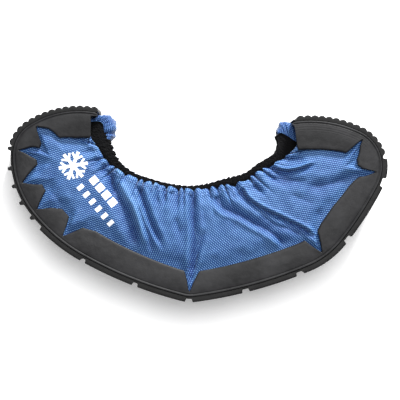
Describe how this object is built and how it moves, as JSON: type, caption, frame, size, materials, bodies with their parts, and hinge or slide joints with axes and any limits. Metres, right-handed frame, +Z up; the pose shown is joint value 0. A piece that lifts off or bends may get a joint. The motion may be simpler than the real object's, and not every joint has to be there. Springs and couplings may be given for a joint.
{
  "type": "skate blade guard",
  "caption": "Soft walking guard for a skate blade: curled rubber sole with notched walls, ribbed ends and studs, and a gathered mesh sock with a terry lining and elastic edge.",
  "frame": {"origin": "middle of the guard's outline on the surface it lies on: the guard lies on one side wall, as it does when it is taken off the skate", "axes": "+X from the toe end to the heel end, +Y from the sole to the opening, +Z up across the guard's width"},
  "size_m": [0.1992, 0.1032, 0.034],
  "materials": {
    "shell_rubber": "satin moulded rubber, charcoal",
    "outsole_rubber": "matt moulded rubber, black",
    "mesh_fabric": "woven sport mesh, royal blue, fine dotted weave",
    "terry": "looped terry towelling, black",
    "elastic": "ribbed woven elastic, black",
    "print": "white heat-transfer print"
  },
  "bodies": {
    "heel_half": {"heel_shell": "shell_rubber", "heel_outsole": "outsole_rubber", "heel_insole": "terry", "heel_panel_near": "mesh_fabric", "heel_panel_far": "mesh_fabric", "heel_lining_near": "terry", "heel_lining_far": "terry", "opening_elastic": "elastic"},
    "toe_half": {"toe_shell": "shell_rubber", "toe_outsole": "outsole_rubber", "toe_insole": "terry", "toe_panel_near": "mesh_fabric", "toe_panel_far": "mesh_fabric", "toe_lining_near": "terry", "toe_lining_far": "terry", "snowflake_print": "print"},
    "toe_cap": {"toe_cap_shell": "shell_rubber", "toe_cap_outsole": "outsole_rubber", "toe_cap_insole": "terry", "toe_hood": "mesh_fabric"},
    "heel_cap": {"heel_cap_shell": "shell_rubber", "heel_cap_outsole": "outsole_rubber", "heel_cap_insole": "terry", "heel_hood": "mesh_fabric"}
  },
  "joints": [
    {"name": "mid_flex", "type": "hinge", "parent": "heel_half", "child": "toe_half", "pos_m": [-0.00464, -0.05004, 0.017], "axis": [0, 0, 1], "range_deg": [-4, 30], "stiffness_Nm_per_rad": 0.6, "deforming": ["opening_elastic"]},
    {"name": "toe_cap_flex", "type": "hinge", "parent": "toe_half", "child": "toe_cap", "pos_m": [-0.09792, 0.02646, 0.017], "axis": [0, 0, 1], "range_deg": [0, 30], "stiffness_Nm_per_rad": 0.3},
    {"name": "heel_cap_flex", "type": "hinge", "parent": "heel_half", "child": "heel_cap", "pos_m": [0.09627, 0.01174, 0.017], "axis": [0, 0, -1], "range_deg": [0, 30], "stiffness_Nm_per_rad": 0.3}
  ]
}
